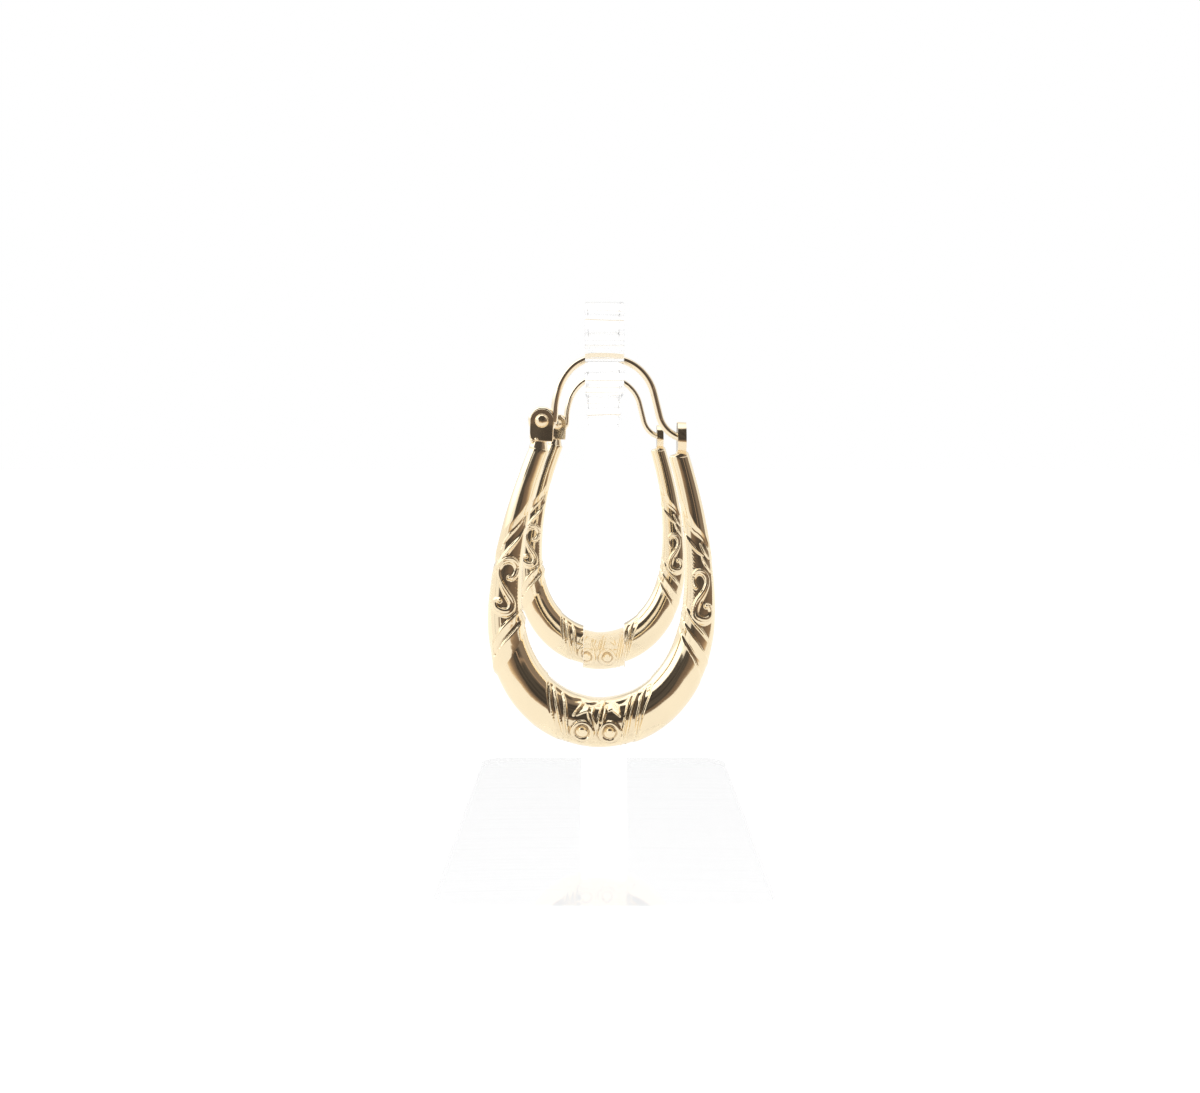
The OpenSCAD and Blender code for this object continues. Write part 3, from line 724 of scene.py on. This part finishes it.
# ---------------------------------------------------------------- pieces
def finish_piece(ob, mat, body, replaces=()):
    ob.data.materials.clear()
    ob.data.materials.append(mat)
    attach(ob, body)
    if replaces:
        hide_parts(*replaces)
    return ob


def join_parts(name, parts):
    """Several (verts, faces) sets as one mesh."""
    V, F, n = [], [], 0
    for v, f in parts:
        V += [tuple(p) for p in v]
        F += [tuple(i + n for i in face) for face in f]
        n += len(v)
    return V, F


def bm_to_lists(bm):
    bm.verts.index_update()
    v = [tuple(p.co) for p in bm.verts]
    f = [tuple(x.index for x in p.verts) for p in bm.faces]
    bm.free()
    return v, f


def plate(outline, low, high, bevel, segments=3, axis=2, bend=None):
    """A plate with the given outline, from low to high along an axis, its rims rounded.
    axis 2: outline in (across, height), thickness towards the viewer; axis 0: outline in (depth, height), thickness across."""
    bm = bmesh.new()
    def place(p, t):
        return (p[0], p[1], t) if axis == 2 else (t, p[1], p[0])
    a = [bm.verts.new(place(p, low)) for p in outline]
    b = [bm.verts.new(place(p, high)) for p in outline]
    bm.faces.new(a[::-1])
    bm.faces.new(b)
    n = len(outline)
    for k in range(n):
        bm.faces.new((a[k], a[(k + 1) % n], b[(k + 1) % n], b[k]))
    bmesh.ops.recalc_face_normals(bm, faces=bm.faces[:])
    rims = [e for e in bm.edges if len(e.link_faces) == 2 and e.calc_face_angle() > math.radians(35)]
    bmesh.ops.bevel(bm, geom=rims, offset=bevel, segments=segments, profile=0.6, affect="EDGES", clamp_overlap=True)
    # a filed face is never quite flat: it comes forward a little towards its foot
    if bend:
        level, amount = bend
        for k in range(1, 12):
            bmesh.ops.bisect_plane(bm, geom=bm.verts[:] + bm.edges[:] + bm.faces[:], plane_co=(0, level - 0.2 * k, 0), plane_no=(0, 1, 0))
        for v in bm.verts:
            v.co.z += amount * max(0, level - v.co.y) ** 2
    bmesh.ops.recalc_face_normals(bm, faces=bm.faces[:])
    return bm_to_lists(bm)


def arc(cx, cy, r, a0, a1, n):
    return [(cx + r * math.cos(math.radians(a0 + (a1 - a0) * k / n)), cy + r * math.sin(math.radians(a0 + (a1 - a0) * k / n))) for k in range(n + 1)]


def blob(centre, radii, seed, n=18):
    """A small lump of solder, slightly uneven."""
    r = np.random.default_rng(seed)
    ph = r.uniform(0, 6.28, 4)
    V, F = [], []
    m = 2 * n
    for i in range(n + 1):
        a = math.pi * i / n
        for j in range(m):
            b = 2 * math.pi * j / m
            w = 1 + 0.04 * math.sin(3 * a + 2 * b + ph[0]) + 0.03 * math.sin(3 * b + ph[1]) * math.sin(a)
            V.append((centre[0] + radii[0] * w * math.sin(a) * math.cos(b), centre[1] + radii[1] * w * math.cos(a), centre[2] + radii[2] * w * math.sin(a) * math.sin(b)))
    for i in range(n):
        for j in range(m):
            F.append((i * m + j, i * m + (j + 1) % m, (i + 1) * m + (j + 1) % m, (i + 1) * m + j))
    return V, F


def to_piece(name, V, F, y, smooth=True):
    ob = add_mesh(name, stand_up(np.array(V), y), F, smooth)
    bm = bmesh.new()
    bm.from_mesh(ob.data)
    bmesh.ops.remove_doubles(bm, verts=bm.verts[:], dist=1e-7)
    bmesh.ops.recalc_face_normals(bm, faces=bm.faces[:])
    bm.to_mesh(ob.data)
    bm.free()
    return ob


def shade_by_angle(ob, deg=32):
    """Flat faces stay crisp where they meet at a clear angle."""
    bm = bmesh.new()
    bm.from_mesh(ob.data)
    for e in bm.edges:
        e.smooth = not (len(e.link_faces) == 2 and e.calc_face_angle(0) > math.radians(deg))
    bm.to_mesh(ob.data)
    bm.free()


# hoop shells
shell_v, shell_f, shell_shade_dirt = hoop_shell()
for side, y in (("front", -20.0), ("rear", 20.0)):
    ob = add_mesh("hoop_shell_" + side, stand_up(shell_v, y), shell_f)
    bm = bmesh.new()
    bm.from_mesh(ob.data)
    bmesh.ops.recalc_face_normals(bm, faces=bm.faces[:])
    bm.to_mesh(ob.data)
    bm.free()
    # per-point amount of painted shade, with a little dirt, for the gold's colour
    attr = ob.data.attributes.new("hollow", "FLOAT", "POINT")
    attr.data.foreach_set("value", shell_shade_dirt.astype(np.float32))
    finish_piece(ob, gold_shell, side + "_hoop", ["hoop_" + side])

def neck(u_end, foot, half_top, depth_top, steps=9, n=44):
    """Solder run from the end of a limb to the fitting that stands on it: a section that changes from the limb's to the foot's."""
    c0, t0 = hoop_at(u_end), hoop_way(u_end) * np.sign(u_end)
    start = c0[:2] - t0 * 0.22
    V, F = [], []
    for i in range(steps + 1):
        s = i / steps
        e = s * s * (3 - 2 * s)
        cxy = start + (np.array(foot) - start) * s
        way = t0 * (1 - s) + np.array([0.0, 1.0]) * s
        way /= np.linalg.norm(way)
        out = -0.03 + 0.045 * float(smoothstep(0, 0.3, s))
        wide = (c0[2] / 2 + out) * (1 - e) + half_top * e
        deep = (c0[3] / 2 + out) * (1 - e) + depth_top * e
        power = 2.15 * (1 - s) + 2.5 * s
        for k in range(n):
            a = 2 * math.pi * k / n
            p = math.copysign(abs(math.cos(a)) ** (2 / power), math.cos(a)) * wide
            q = math.copysign(abs(math.sin(a)) ** (2 / power), math.sin(a)) * deep
            V.append((cxy[0] + p * way[1], cxy[1] - p * way[0], q))
    for i in range(steps):
        for k in range(n):
            F.append((i * n + k, i * n + (k + 1) % n, (i + 1) * n + (k + 1) % n, (i + 1) * n + k))
    F.append(tuple(range(n))[::-1])
    F.append(tuple(steps * n + k for k in range(n)))
    return V, F


def flat_faces(ob):
    """Large flat faces keep their own normal beside the rounded rims."""
    m = ob.modifiers.new("flat_faces", "WEIGHTED_NORMAL")
    m.keep_sharp = True
    m.weight = 60


# hinge clevis: two filed plates, soldered to the limb
hx, hz = HINGE
for side, y in (("front", -20.0), ("rear", 20.0)):
    body = side + "_hoop"
    outline = arc(hx, hz, 0.89, -8, 188, 26) + [(hx - 0.885, 38.2), (hx - 0.87, 37.75), (hx - 0.80, 37.44), (hx - 0.62, 37.24), (hx + 0.2, 37.21), (hx + 0.87, 37.22)]
    parts = [plate(outline, 0.36, 0.70, 0.055, bend=(38.75, 0.028)), plate(outline, -0.70, -0.36, 0.055, bend=(38.75, -0.028))]
    V, F = join_parts("clevis", parts)
    ob = to_piece("hinge_clevis_" + side, V, F, y)
    shade_by_angle(ob)
    flat_faces(ob)
    finish_piece(ob, gold_plate, body)
    lumps = [neck(-LAST, (hx - 0.13, 37.44), 0.54, 0.62), blob((hx - 0.34, 37.36, 0.66), (0.19, 0.14, 0.19), 4),
             blob((hx - 0.74, 37.52, 0.40), (0.15, 0.30, 0.26), 5), blob((hx - 0.66, 37.24, 0.36), (0.18, 0.24, 0.30), 6),
             blob((hx + 0.40, 37.31, 0.32), (0.20, 0.13, 0.26), 8), blob((hx - 0.5, 37.32, -0.52), (0.26, 0.14, 0.15), 10), blob((hx + 0.4, 37.34, -0.54), (0.28, 0.12, 0.14), 11)]
    V, F = join_parts("solder", lumps)
    ob = to_piece("hinge_solder_" + side, V, F, y)
    finish_piece(ob, gold_solder, body)

# catch: round-headed tab with a slot open at the top
cx = 5.46
for side, y in (("front", -20.0), ("rear", 20.0)):
    body = side + "_hoop"
    half_slot = 0.37
    low = 37.99
    cheek = []
    for k in range(31):
        g = math.radians(-65 + 137 * k / 30)
        cheek.append((1.42 * math.cos(g), 37.80 + (1.42 if g > 0 else 1.20) * math.sin(g)))
    outline = [(-0.60, 36.70), (0.60, 36.70)] + cheek + [(half_slot, 39.10)] + arc(0, low, half_slot, 0, -180, 12) + [(-half_slot, 39.10)] + [(-p[0], p[1]) for p in cheek[::-1]]
    V, F = plate(outline, cx - 0.325, cx + 0.325, 0.05, axis=0)
    V = [(p[0] - 0.045 * (p[1] - 37.4), p[1], p[2]) for p in V]
    ob = to_piece("catch_tab_" + side, V, F, y)
    shade_by_angle(ob, 24)
    flat_faces(ob)
    finish_piece(ob, gold_plate, body)
    lumps = [neck(LAST, (cx + 0.03, 36.98), 0.33, 0.74), blob((cx - 0.30, 36.80, 0.25), (0.10, 0.14, 0.26), 21)]
    V, F = join_parts("solder", lumps)
    ob = to_piece("catch_solder_" + side, V, F, y)
    finish_piece(ob, gold_solder, body)

# rivets: shank with two domed heads, each with a fine rolled rim
def lathe(profile, n=40):
    """Surface turned about the hinge axis. profile: (radius, towards the viewer)."""
    V, F = [], []
    for r, z in profile:
        for k in range(n):
            a = 2 * math.pi * k / n
            V.append((r * math.cos(a), r * math.sin(a), z))
    for i in range(len(profile) - 1):
        for k in range(n):
            F.append((i * n + k, i * n + (k + 1) % n, (i + 1) * n + (k + 1) % n, (i + 1) * n + k))
    return V, F


head = [(0.001, 0.985), (0.07, 0.984), (0.14, 0.981), (0.20, 0.974), (0.26, 0.962), (0.32, 0.942), (0.375, 0.914), (0.425, 0.874), (0.465, 0.826), (0.495, 0.782), (0.515, 0.75), (0.535, 0.735), (0.545, 0.722), (0.54, 0.712), (0.42, 0.712)]
head = [(r * 0.96, z) for r, z in head]
profile = head + [(0.42, 0.3), (0.42, -0.3)] + [(r, -z) for r, z in head[::-1]]
for side, y in (("front", -20.0), ("rear", 20.0)):
    V, F = lathe(profile, 48)
    V = [(p[0] + hx, p[1] + hz, p[2]) for p in V]
    ob = to_piece("hinge_rivet_" + side, V, F, y)
    finish_piece(ob, gold_plate, side + "_hoop", ["hinge_pin_" + side])

# ear wires: round wire whose end is set up into a drilled eye
WIRE = [[1.0, 8], [1.6, -13], [1.7, -24], [2.2, -46], [1.6, -9], [2.1, -37], [2.0, -32], [1.8, 0], [1.5, 39], [1.0, 22]]
hinge_x, _, hinge_z = stand_up([hx, hz, 0], 0) / MM


def wire_line(step=0.12):
    a = math.radians(-13)
    x, z, h = hinge_x + 0.80 * math.cos(a), hinge_z + 0.80 * math.sin(a), a + math.pi / 2
    pts = [(x, z, h)]
    for length, turn in WIRE:
        n = max(2, int(length / step))
        t = math.radians(turn)
        x0, z0, h0 = x, z, h
        for k in range(1, n + 1):
            s, g = length * k / n, t * k / n
            if turn == 0:
                x, z, h = x0 + s * math.cos(h0), z0 + s * math.sin(h0), h0
            else:
                r = length / t
                h = h0 + g
                x, z = x0 + r * (math.sin(h) - math.sin(h0)), z0 - r * (math.cos(h) - math.cos(h0))
            pts.append((x, z, h))
    return pts


def wire_mesh(sides=24):
    pts = wire_line()
    V, F = [], []
    r0 = 0.28
    rings = []
    # round the end that rests in the catch
    x, z, h = pts[-1]
    tail = [(x + r0 * math.sin(math.radians(q)) * math.cos(h), z + r0 * math.sin(math.radians(q)) * math.sin(h), h, r0 * math.cos(math.radians(q))) for q in (15, 30, 45, 60, 75, 87)]
    arc_len = 0
    for k, (x, z, h) in enumerate(pts):
        if k:
            arc_len += math.hypot(x - pts[k - 1][0], z - pts[k - 1][1])
        # the wire swells and flattens a little where it runs into the eye
        swell = math.exp(-(arc_len / 0.7) ** 2)
        rings.append((x, z, h, r0 * (1 + 0.25 * swell), r0 * (1 - 0.04 * swell)))
    rings += [(x, z, h, r, r) for x, z, h, r in tail]
    for x, z, h, ra, rb in rings:
        nx, nz = math.sin(h), -math.cos(h)
        for j in range(sides):
            a = 2 * math.pi * j / sides
            V.append((x + ra * math.cos(a) * nx, z + ra * math.cos(a) * nz, rb * math.sin(a)))
    n = len(rings)
    for i in range(n - 1):
        for j in range(sides):
            F.append((i * sides + j, i * sides + (j + 1) % sides, (i + 1) * sides + (j + 1) % sides, (i + 1) * sides + j))
    F.append(tuple(range(sides))[::-1])
    F.append(tuple((n - 1) * sides + j for j in range(sides)))
    return V, F


def eye_mesh():
    """The drilled eye: a flattened ring with rounded rims and a softly uneven outline."""
    prof = []
    inner, outer, t, b = 0.48, 1.07, 0.275, 0.25
    for a in (180, 210, 240, 270):
        prof.append((inner + 0.06 + 0.06 * math.cos(math.radians(a)), -t + 0.06 + 0.06 * math.sin(math.radians(a))))
    for a in (270, 282, 295, 310, 325, 340, 360):
        prof.append((outer - b + b * math.cos(math.radians(a)), -t + b + b * math.sin(math.radians(a))))
    for a in (0, 20, 35, 50, 65, 78, 90):
        prof.append((outer - b + b * math.cos(math.radians(a)), t - b + b * math.sin(math.radians(a))))
    for a in (90, 120, 150, 180):
        prof.append((inner + 0.06 + 0.06 * math.cos(math.radians(a)), t - 0.06 + 0.06 * math.sin(math.radians(a))))
    n = 96
    V, F = [], []
    m = len(prof)
    for k in range(n):
        a = 2 * math.pi * k / n
        wob = 1 + 0.012 * math.sin(3 * a + 0.5) + 0.008 * math.sin(7 * a)
        for r, z in prof:
            rr = inner + (r - inner) * wob
            V.append((hinge_x + rr * math.cos(a), hinge_z + rr * math.sin(a), z))
    for k in range(n):
        for j in range(m):
            a, b_ = k * m + j, k * m + (j + 1) % m
            c, d = ((k + 1) % n) * m + (j + 1) % m, ((k + 1) % n) * m + j
            F.append((a, b_, c, d))
    return V, F


def plain_place(V, y):
    return [(p[0] * MM, (y - p[2]) * MM, p[1] * MM) for p in V]


for side, y in (("front", -20.0), ("rear", 20.0)):
    V, F = join_parts("wire", [wire_mesh(), eye_mesh()])
    ob = add_mesh("ear_wire_round_" + side, plain_place(V, y), F)
    bm = bmesh.new()
    bm.from_mesh(ob.data)
    bmesh.ops.recalc_face_normals(bm, faces=bm.faces[:])
    bm.to_mesh(ob.data)
    bm.free()
    finish_piece(ob, gold_wire, "stand", ["ear_wire_" + side])

# ---------------------------------------------------------------- stand
for node in ("stand_base", "stand_upright"):
    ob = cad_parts[node]
    ob.data.materials.clear()
    ob.data.materials.append(clear)
    weld = ob.modifiers.new("weld", "WELD")
    weld.merge_threshold = 1e-6
    bev = ob.modifiers.new("polished_edges", "BEVEL")
    bev.width = 0.00018
    bev.segments = 3
    bev.limit_method = "ANGLE"
    bev.angle_limit = math.radians(40)
    flat_faces(ob)
